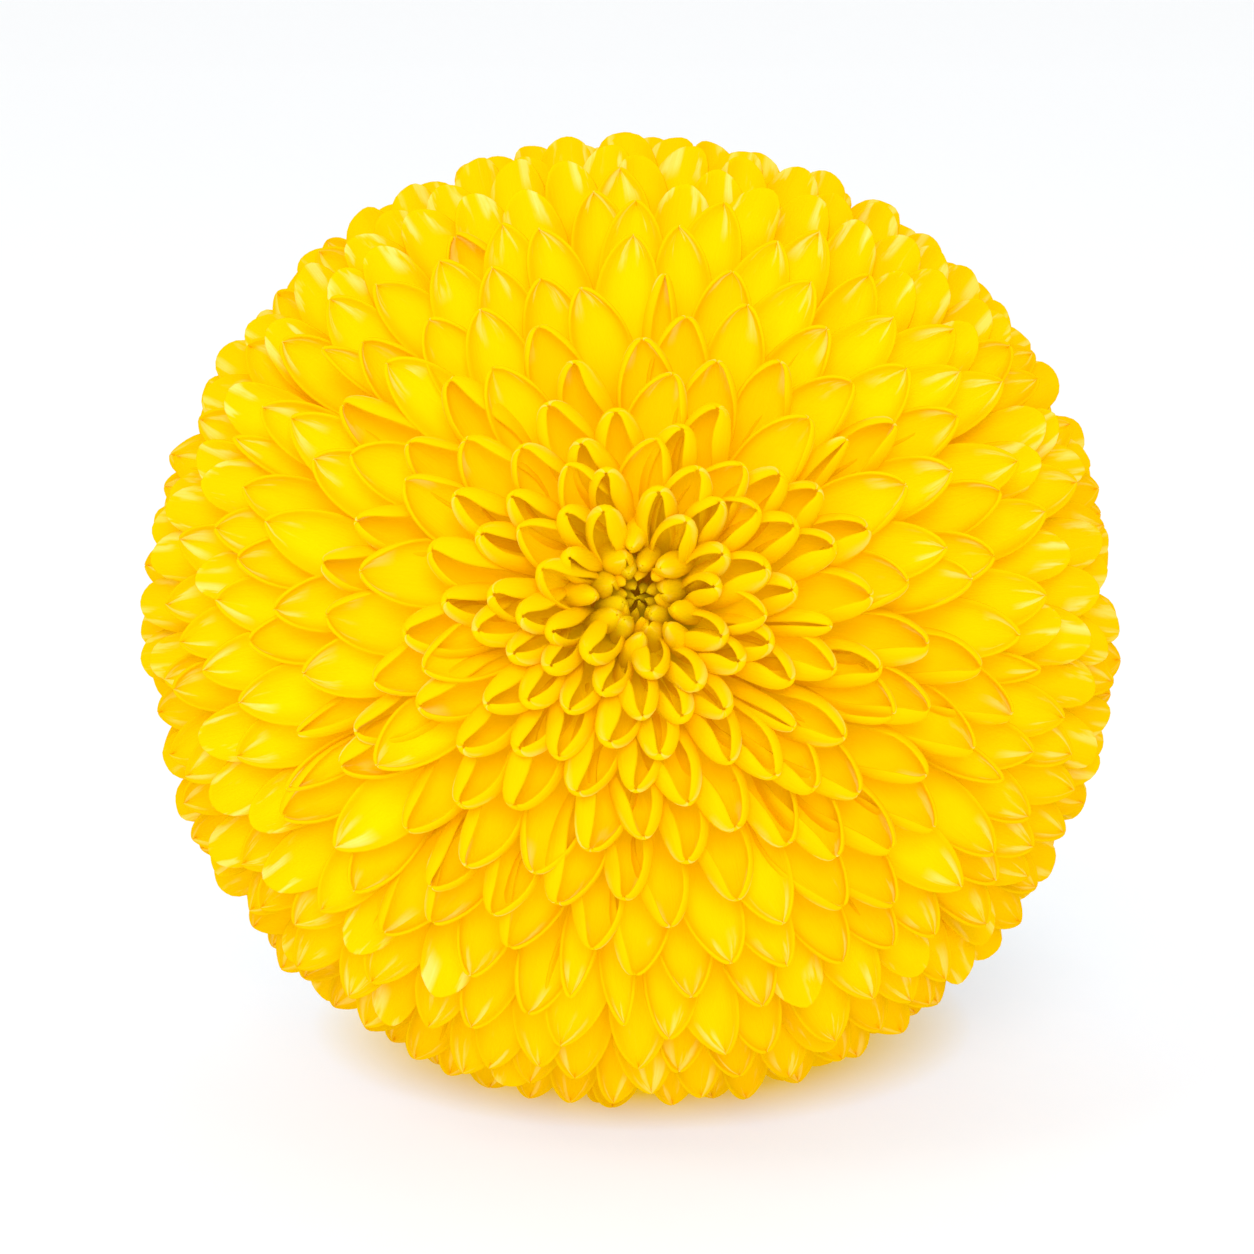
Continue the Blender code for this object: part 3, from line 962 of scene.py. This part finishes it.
@dataclass(frozen=True)
class PetalFinish(Finish):
    """Golden at the base, lemon at the tip and the rims, olive only at the very middle, with painted highlights
    near the tips and a painted glow that lifts the shade in the cups.
    """

    base: Colour = (0.95, 0.67, 0.0003)
    middle: Colour = (0.96, 0.67, 0.0003)
    tip: Colour = (0.96, 0.63, 0.0004)
    # Colour of the painted highlights beside the midline near each tip.
    pale: Colour = (0.99, 0.82, 0.19)
    olive: Colour = (0.7, 0.53, 0.003)
    rim: Colour = (0.95, 0.605, 0.0004)
    outer: Colour = (0.905, 0.515, 0.0005)
    olive_span: Pair = (0.025, 0.055)
    # Strength of a painted glow: the petal emits its own colour, which lifts the shade in its cup.
    glow: float = 0.2
    lines: float = 34.0

    def body(self, nodes: Nodes, blade: Blade, depth: Socket) -> Socket:
        """The petal's colour along it, at its rims and from the middle of the bloom outwards.

        Args:
            nodes: The helper for the material's nodes.
            blade: What is read from the petal.
            depth: The petal's place in the coat.

        Returns:
            The colour.
        """
        streaky = nodes.math("ADD", blade.along, nodes.times(blade.line, 0.04))
        stops = (0.45, self.base), (0.66, self.base), (0.84, self.middle), (1.0, self.tip)
        body = nodes.ramp(streaky, stops)
        rim = nodes.times(nodes.span(blade.side, 0.3, 0.85, 0.0, 0.95), nodes.span(blade.along, 0.45, 0.8))
        for share, colour in (
            (rim, self.rim),
            (nodes.times(nodes.span(blade.tone, 0.0, 1.0), 0.22), self.base),
            (nodes.span(depth, 0.25, 0.7, 0.0, 0.8), self.outer),
            (nodes.span(depth, 0.7, 0.85, 0.0, 0.8), self.base),
        ):
            body = nodes.mix(share, body, colour)
        return body

    def material(self, effects: EffectGroups) -> Material:
        """Build the petal material.

        Args:
            effects: The shared node groups.

        Returns:
            The finished material.
        """
        material, nodes, shader = self.start()
        blade = effects.blade(nodes, self.lines)
        depth = nodes.attribute("seat_depth")
        # Painted highlight: pale, streaky patches beside the midline near each tip, fewer at the very middle and
        # at the edge of the bloom. The same mask also sets a real clear coat.
        glint = nodes.times(
            nodes.span(blade.breakup, 0.45, 0.95),
            nodes.span(blade.along, 0.84, 0.93),
            nodes.span(blade.line, 0.1, 0.9, 0.75, 1.0),
            nodes.span(depth, 0.06, 0.3, 0.3, 0.75),
            nodes.span(depth, 0.42, 0.6, 1.0, 0.55),
            nodes.span(blade.side, 0.1, 0.3),
            nodes.span(blade.side, 0.55, 0.85, 1.0, 0.0),
        )
        olive = nodes.times(
            nodes.span(depth, *self.olive_span, 0.8, 0.0), nodes.span(blade.along, 0.6, 1.0, 1.0, 0.7)
        )
        # The painted highlight is mixed into the petal colour here.
        body = nodes.mix(glint, self.body(nodes, blade, depth), self.pale)
        body = nodes.mix(olive, body, self.olive)
        # Painted glow: strongest in the middle of the blade, weaker at the rims, towards the tip and at the very
        # middle of the bloom. There the petal emits its own colour, which lifts the shade in the cups.
        cup = nodes.times(
            nodes.span(blade.side, 0.3, 0.9, 1.0, 0.35),
            nodes.span(blade.along, 0.7, 1.0, 1.0, 0.5),
            nodes.span(depth, 0.05, 0.13, 0.35, 1.0),
        )
        nodes.fill(shader, {
            "Base Color": body,
            "Emission Color": nodes.mix(cup, BLACK, body),
            "Emission Strength": self.glow,
            "Coat Weight": nodes.times(glint, 0.35),
            "Coat Roughness": 0.3,
            "Roughness": nodes.math("ADD", self.roughness - 0.05, nodes.times(blade.breakup, 0.14)),
        })
        self.relief(nodes, shader, blade.line, 0.22, 0.05 * MM)
        return material


@dataclass(frozen=True)
class TissueFinish(Finish):
    """A mottled plant tissue between two colours, for the core and the greens."""

    light: Colour
    dark: Colour
    patch_scale: float = 350.0
    grain_scale: float = 2600.0
    relief_strength: float = 0.3

    def material(self, effects: EffectGroups) -> Material:
        """Build the mottled material.

        Args:
            effects: The shared node groups.

        Returns:
            The finished material.
        """
        material, nodes, shader = self.start()
        mottle = nodes.make("ShaderNodeGroup", node_tree=effects.mottle)
        nodes.fill(mottle, {"Patch Scale": self.patch_scale, "Grain Scale": self.grain_scale})
        patch, grain = mottle.outputs
        body = nodes.mix(nodes.times(grain, 0.25), nodes.mix(patch, self.light, self.dark), self.dark)
        nodes.feed(body, shader.inputs["Base Color"])
        self.relief(nodes, shader, grain, self.relief_strength, 0.08 * MM)
        return material


@dataclass(frozen=True)
class BractFinish(Finish):
    """A green bract: darker midline, pale dry margin, fine lines along it."""

    body: Colour = (0.17, 0.27, 0.06)
    midline: Colour = (0.09, 0.17, 0.03)
    margin: Colour = (0.62, 0.55, 0.32)
    lines: float = 22.0

    def material(self, effects: EffectGroups) -> Material:
        """Build the bract material.

        Args:
            effects: The shared node groups.

        Returns:
            The finished material.
        """
        material, nodes, shader = self.start()
        blade = effects.blade(nodes, self.lines)
        edge = nodes.math("MAXIMUM", nodes.span(blade.side, 0.72, 0.95), nodes.span(blade.along, 0.86, 0.99))
        body = nodes.mix(nodes.span(blade.side, 0.0, 0.3, 0.8, 0.0), self.body, self.midline)
        body = nodes.mix(nodes.times(blade.line, 0.3), body, self.midline)
        body = nodes.mix(nodes.times(edge, 0.8), body, self.margin)
        nodes.feed(body, shader.inputs["Base Color"])
        self.relief(nodes, shader, blade.line, 0.5, 0.06 * MM)
        return material


@dataclass
class PetalCoat:
    """The four belts of yellow petals."""

    pose: BloomPose
    tree: SeatTree
    spiral: Spiral = field(default_factory=Spiral)
    pattern: PetalPattern = field(default_factory=PetalPattern)
    growth: Growth = Growth("petals", "petal_yellow", math.radians(2.0), 0.009, 11, 0.24 * MM, -1.0, 1)
    class_polars: Floats = (
        4.6, 5.6, 6.6, 7.7, 8.9, 10.2, 11.8, 13.5, 15.5, 18, 22, 27, 33, 40, 50, 62, 76, 92, 106, 118, 129,
        138,
    )
    polar_sway: float = 0.12
    spin: Table = ((0, 16), (14, 16), (30, 10), (139, 8))
    rolled_from: int = 4
    rolled_share: float = 0.42
    quilled_share: float = 0.05
    quilled_polars: Pair = (math.radians(18.0), math.radians(58.0))

    def belts(self) -> dict[Band, Seats]:
        """Share the spiral's seats out over the belts, by their order along it.

        Rolled petals are drawn more often on the low side of the bloom.

        Returns:
            The seats of every belt.
        """
        seats = self.spiral.seats()
        draw = np.random.default_rng(self.growth.seed)
        classes = np.radians(np.array(self.class_polars))
        belts = {band: Seats() for band in Band}
        kinds = len(FACE_SHAPES)
        for index, (polar, azimuth) in enumerate(seats):
            band = list(Band)[min(len(Band) * index // len(seats), len(Band) - 1)]
            rank = int(np.argmin(np.abs(classes - polar)))
            middle = float(classes[rank])
            quilled = draw.random() < self.quilled_share
            quilled = quilled and self.quilled_polars[0] < polar < self.quilled_polars[1]
            rolled = draw.random() < self.rolled_share * (1.1 - math.sin(azimuth))
            first, last = (self.rolled_from, kinds - 1) if rolled else (0, self.rolled_from)
            variant = kinds - 1 if quilled else int(draw.integers(first, last))
            jostle = self.polar_sway * draw.uniform(-1.0, 1.0) * self.spiral.spacing(polar)
            spin = math.radians(look_up(self.spin, polar)) * draw.uniform(-1.0, 1.0)
            belts[band].add(
                azimuth, rank * kinds + variant, polar - middle + jostle / GLOBE_RADIUS, polar / LAST_POLAR,
                spin, middle,
            )
        return belts

    def build(self, finish: Material) -> None:
        """Grow every belt, each with its own seed.

        Args:
            finish: The petal material.
        """
        shapes = self.pattern.cages(self.class_polars, len(FACE_SHAPES), self.spiral)
        for turn, (band, seats) in enumerate(self.belts().items()):
            self.tree.grow(band.value, seats, shapes, finish, self.growth, self.pose, turn)


@dataclass
class CentreButton:
    """The young olive florets in the middle of the face: the first seats of the same spiral."""

    pose: BloomPose
    tree: SeatTree
    spiral: Spiral = field(default_factory=lambda: Spiral(first_polar=0.0))
    pattern: PetalPattern = field(default_factory=PetalPattern)
    growth: Growth = Growth("centre_florets", "young_olive", math.radians(5.0), 0.004, 23, 0.16 * MM, -1.0, 2)
    class_polars: Floats = (0.8, 1.7, 2.6, 3.6)
    kinds: int = 3
    last_polar: float = math.radians(4.2)

    def build(self, finish: Material) -> None:
        """Set the young florets on their seats.

        Args:
            finish: The olive material.
        """
        seats = Seats()
        classes = np.radians(np.array(self.class_polars))
        draw = np.random.default_rng(self.growth.seed)
        for polar, azimuth in self.spiral.seats():
            if polar >= self.last_polar:
                break
            rank = int(np.argmin(np.abs(classes - polar)))
            choice = rank * self.kinds + int(draw.integers(0, self.kinds))
            seats.add(azimuth, choice, polar - float(classes[rank]), polar / self.last_polar)
        shapes = self.pattern.cages(self.class_polars, self.kinds, self.spiral)
        self.tree.grow("centre_young", seats, shapes, finish, self.growth, self.pose)


@dataclass
class HeadCore:
    """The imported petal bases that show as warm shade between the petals."""

    pose: BloomPose
    radius: float = 23.4 * MM
    face_rise: float = 0.3 * MM
    rise_degrees: float = 15.0
    waist: Pair = (19.2 * MM, -8.6 * MM)
    hollow: Pair = (8.4 * MM, -11.4 * MM)
    back: float = -12.2 * MM
    sides: int = 64
    ripple: float = 0.006

    def build(self, finish: Material) -> None:
        """Turn the core and dress it.

        Args:
            finish: The core's material.
        """
        profile = [(0.0, self.radius + self.face_rise)]
        for degrees in range(3, 103, 5):
            raised = self.radius + self.face_rise * bump(degrees, self.rise_degrees)
            profile.append(tuple(meridian(raised, math.radians(degrees))))
        profile += [self.waist, self.hollow, (self.hollow[0] * 0.9, self.back), (0.0, self.back)]
        core = turned("head_core", profile, self.sides)
        for corner in core.data.vertices:
            turn = math.atan2(corner.co.y, corner.co.x)
            corner.co *= 1.0 + self.ripple * math.sin(21.0 * turn) * math.sin(corner.co.z * 1400.0)
        self.pose.lay_down(core.data)
        hand_over(core, "petals", finish)


@dataclass
class Calyx:
    """The green cup under the bloom and its overlapping bracts.

    The profile gives shares of the radius and depths below the rim in millimetres. Each row of
    bracts has a count, the reach of its tips, a half width and how far the tips stay below the rim.
    """

    pose: BloomPose
    tree: SeatTree
    growth: Growth = Growth("calyx", "calyx_green", math.radians(3.0), 0.012, 8, 0.3 * MM, 0.0, 2)
    rim: float = -12.3 * MM
    depth: float = 4.6 * MM
    radius: float = 8.8 * MM
    neck: float = 3.5 * MM
    bore: float = 2.45 * MM
    bore_depth: float = 1.6 * MM
    chamfer: float = 0.1 * MM
    sides: int = 48
    profile: Table = ((0.93, 0.0), (1.0, 0.5), (0.95, 1.2), (0.84, 2.1), (0.62, 3.6))
    rows: tuple[tuple[int, float, float, float], ...] = (
        (9, 7.7 * MM, 2.0 * MM, 1.5 * MM),
        (12, 9.9 * MM, 2.05 * MM, 0.6 * MM),
        (14, 10.1 * MM, 1.7 * MM, 0.05 * MM),
    )
    bract_columns: Floats = (-1.0, -0.6, 0.0, 0.6, 1.0)
    bract_rows: Floats = (0.0, 0.3, 0.55, 0.75, 0.9, 1.0)

    def bract(self, reach: float, half_width: float, tip_depth: float) -> Mesh:
        """One bract of the cup, for an azimuth of 0.

        Args:
            reach: Distance of its tip from the flower's axis.
            half_width: Its half width.
            tip_depth: How far its tip stays below the rim.

        Returns:
            The new mesh.
        """
        midline = (
            np.array([3.4 * MM, self.rim - 4.0 * MM]),
            np.array([reach * 0.84, self.rim - 4.5 * MM]),
            np.array([reach, self.rim - tip_depth]),
        )
        points = np.zeros((len(self.bract_rows), len(self.bract_columns), 3))
        for row, share in enumerate(self.bract_rows):
            for column, side in enumerate(self.bract_columns):
                place = share * (1.0 - 0.2 * (1.0 - math.sqrt(1.0 - min(abs(side), 0.98) ** 2)))
                spot, heading = curve(*midline, place)
                width = half_width * (0.55 + 0.45 * math.sin(math.pi * min(0.15 + 0.8 * place, 1.0)))
                width *= 1.0 - 0.75 * ease(0.62, 1.0, share)
                towards = 0.3 * width * side * side + 0.12 * MM * (1.0 - share)
                points[row, column] = (
                    spot[0] - heading[1] * towards, width * side, spot[1] + heading[0] * towards,
                )
        return woven("bract", points, self.bract_columns, self.bract_rows)

    def build(self, cup_finish: Material, bract_finish: Material) -> None:
        """Turn the cup, set the bracts on it and dress both.

        Args:
            cup_finish: The material of the cup.
            bract_finish: The material of the bracts.
        """
        bottom = self.rim - self.depth
        cup = turned("calyx_cup", [
            (0.0, self.rim),
            *((self.radius * share, self.rim - below * MM) for share, below in self.profile),
            (self.neck, bottom + self.chamfer),
            (self.neck * 0.85, bottom),
            (self.bore, bottom + self.chamfer),
            (self.bore, bottom + self.bore_depth),
            (0.0, bottom + self.bore_depth),
        ], self.sides)
        self.pose.lay_down(cup.data)
        hand_over(cup, "calyx", cup_finish)
        seats = Seats()
        for rank, (count, *_) in enumerate(self.rows):
            for index in range(count):
                seats.add(2.0 * math.pi * (index + 0.5 * rank) / count, rank)
        shapes = [self.bract(*sizes) for _, *sizes in self.rows]
        self.tree.grow("calyx_bracts", seats, shapes, bract_finish, self.growth, self.pose)


@dataclass
class Stem:
    """The short ribbed stem, cut square, with its pale cut end."""

    pose: BloomPose
    top: float = -15.6 * MM
    end: float = -27.0 * MM
    radius: float = 2.1 * MM
    ribs: int = 6
    rib_height: float = 0.07
    sides: int = 72
    rings: int = 14
    cap_insets: Pair = (0.14 * MM, 0.3 * MM)
    sharp_edge: float = math.radians(50.0)

    def build(self, skin: Material, pith: Material) -> None:
        """Raise the ribs, close both ends and dress skin and cut.

        Args:
            skin: The green skin.
            pith: The pale tissue of the cut.
        """
        tube = bmesh.new()
        bmesh.ops.create_cone(
            tube, cap_ends=True, segments=self.sides, radius1=self.radius, radius2=self.radius,
            depth=self.top - self.end,
        )
        lengthwise = [edge for edge in tube.edges if abs(edge.verts[0].co.z - edge.verts[1].co.z) > 1.0 * MM]
        bmesh.ops.subdivide_edges(tube, edges=lengthwise, cuts=self.rings, use_grid_fill=False)
        for inset in self.cap_insets:
            caps = [face for face in tube.faces if len(face.verts) > 4]
            bmesh.ops.inset_region(tube, faces=caps, thickness=inset, depth=0.0)
        for face in tube.faces:
            face.material_index = int(abs(face.normal.z) > 0.9 and face.calc_center_median().z < 0.0)
        for corner in tube.verts:
            turn = math.atan2(corner.co.y, corner.co.x)
            reach = math.hypot(corner.co.x, corner.co.y) / self.radius
            wave = math.cos(self.ribs * turn) + 0.25 * math.cos(2.0 * self.ribs * turn)
            swell = 1.0 + self.rib_height * wave * reach + 0.012 * math.sin(corner.co.z * 900.0 + 2.0 * turn)
            corner.co.x *= swell
            corner.co.y *= swell
            corner.co.z += (self.top + self.end) / 2.0
        bmesh.ops.recalc_face_normals(tube, faces=tube.faces)
        mesh = bpy.data.meshes.new("stem_skin")
        tube.to_mesh(mesh)
        tube.free()
        stem = link("stem_skin", mesh)
        self.pose.lay_down(stem.data)
        hand_over(stem, "stem", skin)
        stem.data.materials.append(pith)
        stem.data.set_sharp_from_angle(angle=self.sharp_edge)


@dataclass
class Studio:
    """A white table that runs up into a white wall, soft light and the camera.

    The table glows weakly. The glow fades under the bloom, for the soft shadow, and it is
    golden where the bloom touches the table, for the light that the petals throw on it.
    Each panel has a name, a place, a size and a power.
    """

    pose: BloomPose
    elevation: float = math.radians(12.0)
    azimuth: float = math.radians(-0.8)
    lens: float = 100.0
    sensor: float = 36.0
    distance: float = 216.0 * MM
    clip: Pair = (0.01, 20.0)
    aim_offset: Pair = (-0.24 * MM, -0.3 * MM)
    sky_strength: float = 0.74
    table_width: float = 3.0
    table_reach: float = 1.2
    wall_bend: float = 0.5
    wall_height: float = 1.2
    table_light: Colour = (0.52, 0.525, 0.53)
    table_dark: Colour = (0.5, 0.505, 0.51)
    table_glow: float = 0.64
    contact_middle: Pair = (0.9 * MM, 11.4 * MM)
    contact_reach: float = 59.0 * MM
    contact_tints: Stops = (
        (0.256, (0.66, 0.46, 0.0)), (0.372, (0.745, 0.85, 0.965)), (1.0, (0.81, 0.82, 0.828)),
    )
    shade_middle: Pair = (8.2 * MM, 22.4 * MM)
    shade_reach: Pair = (3.3 * MM, 28.7 * MM)
    shade_least: float = 0.59
    panels: tuple[tuple[str, tuple[float, float, float], float, float], ...] = (
        ("key_panel", (-0.5, -0.4, 0.7), 0.3, 1.1),
        ("top_panel", (0.1, 0.1, 0.95), 0.7, 0.6),
        ("front_panel", (0.0, -0.9, 0.5), 0.4, 3.5),
    )

    def paper(self) -> Material:
        """The table's white material, with its glow.

        Returns:
            The finished material.
        """
        material = bpy.data.materials.new("white table")
        material.use_nodes = True
        nodes = Nodes(material.node_tree)
        place = nodes.make("ShaderNodeTexCoord").outputs["Object"]
        contact, shade = (
            nodes.make("ShaderNodeVectorMath", {0: place, 1: (*middle, 0.0)}, operation="DISTANCE")
            for middle in (self.contact_middle, self.shade_middle)
        )
        far = nodes.math("DIVIDE", contact.outputs["Value"], self.contact_reach)
        shade = nodes.span(shade.outputs["Value"], *self.shade_reach, self.shade_least, 1.0)
        nodes.fill(material.node_tree.nodes["Principled BSDF"], {
            "Base Color": nodes.mix(nodes.noise(place, 240.0, 2.0), self.table_dark, self.table_light),
            "Roughness": 0.9,
            "Specular IOR Level": 0.2,
            "Emission Color": nodes.mix(shade, BLACK, nodes.ramp(far, self.contact_tints)),
            "Emission Strength": self.table_glow,
        })
        return material

    def table(self) -> None:
        """The floor, curved up behind the bloom, marked as stage."""
        reach, bend = self.table_reach, self.wall_bend
        profile = [(-reach, 0.0), (reach, 0.0)]
        for angle in np.linspace(0.1, math.pi / 2.0, 10):
            profile.append((reach + bend * math.sin(angle), bend - bend * math.cos(angle)))
        profile.append((reach + bend, bend + self.wall_height))
        sides = (-1.0, 1.0)
        grid = np.array([
            [(side * self.table_width / 2.0, depth, height) for side in sides] for depth, height in profile
        ])
        table = link("studio_table", woven("studio_table", grid, sides, tuple(range(len(profile)))))
        table.data.shade_smooth()
        table.data.materials.append(self.paper())

    def lights(self) -> None:
        """A bright even surround and the soft panels, all turned to the bloom."""
        scene = bpy.context.scene
        scene.world = bpy.data.worlds.new("white surround")
        scene.world.use_nodes = True
        sky = scene.world.node_tree.nodes["Background"]
        sky.inputs["Color"].default_value = (1.0, 1.0, 1.0, 1.0)
        sky.inputs["Strength"].default_value = self.sky_strength
        target = Vector((0.0, 0.0, GLOBE_RADIUS))
        for name, spot, size, power in self.panels:
            data = bpy.data.lights.new(name, "AREA")
            data.shape = "SQUARE"
            data.size = size
            data.energy = power
            lamp = link(name, data)
            lamp.location = spot
            lamp.rotation_euler = (target - Vector(spot)).to_track_quat("-Z", "Y").to_euler()

    def camera(self) -> None:
        """The camera in front of the bloom, looking a little down on it."""
        data = bpy.data.cameras.new("camera")
        data.lens = self.lens
        data.sensor_width = self.sensor
        data.clip_start, data.clip_end = self.clip
        data.dof.use_dof = False
        camera = link("camera", data)
        turn = Matrix.Rotation(self.azimuth, 3, "Z")
        away = turn @ Vector((0.0, -math.cos(self.elevation), math.sin(self.elevation)))
        upward = turn @ Vector((0.0, math.sin(self.elevation), math.cos(self.elevation)))
        right = turn @ Vector((1.0, 0.0, 0.0))
        aim = self.pose.middle() + right * self.aim_offset[0] + upward * self.aim_offset[1]
        camera.location = aim + away * self.distance
        camera.rotation_euler = (-away).to_track_quat("-Z", "Y").to_euler()
        bpy.context.scene.camera = camera

    def build(self) -> None:
        """Set up table, light, camera and the plain colour transform."""
        self.table()
        self.lights()
        self.camera()
        bpy.context.scene.view_settings.view_transform = "Standard"
        bpy.context.scene.view_settings.look = "None"


def main() -> None:
    """Build every sub-assembly in order."""
    logging.basicConfig(level=logging.INFO, format="%(name)s: %(message)s")
    pose = BloomPose()
    tree = SeatTree()
    petals = PetalFinish("petal yellow", 0.42, 0.0, 0.5 * MM, 0.0)
    core = TissueFinish("petal bases", 0.6, 0.0, 0.6 * MM, 0.0, (1.0, 0.62, 0.0005), (0.98, 0.55, 0.0005))
    # The young florets carry the same painted highlight (their pale colour) and the same painted glow as the
    # petals.
    olive = PetalFinish(
        "young olive", 0.5, 0.2, 0.3 * MM, 0.0, base=(0.9, 0.54, 0.001), middle=(0.93, 0.57, 0.001),
        tip=(0.95, 0.6, 0.001), pale=(0.96, 0.7, 0.01), olive=(0.5, 0.4, 0.004), outer=(0.95, 0.6, 0.001),
        olive_span=(0.3, 1.0),
    )
    cup = TissueFinish("calyx green", 0.6, 0.05, 0.4 * MM, 0.3, (0.17, 0.27, 0.06), (0.1, 0.18, 0.035))
    bracts = BractFinish("bract green", 0.55, 0.05, 0.4 * MM, 0.35)
    skin = TissueFinish(
        "stem green", 0.5, 0.05, 0.5 * MM, 0.4, (0.23, 0.34, 0.09), (0.14, 0.24, 0.05), 420.0, 3000.0, 0.4
    )
    pith = TissueFinish(
        "cut stem", 0.7, 0.2, 0.6 * MM, 0.3, (0.72, 0.74, 0.5), (0.5, 0.56, 0.28), 900.0, 4000.0, 0.5
    )
    effects = EffectGroups()
    HeadCore(pose).build(core.material(effects))
    PetalCoat(pose, tree).build(petals.material(effects))
    CentreButton(pose, tree).build(olive.material(effects))
    Calyx(pose, tree).build(cup.material(effects), bracts.material(effects))
    Stem(pose).build(skin.material(effects), pith.material(effects))
    Studio(pose).build()
    bpy.data.node_groups.remove(tree.tree)


if __name__ == "__main__":
    main()
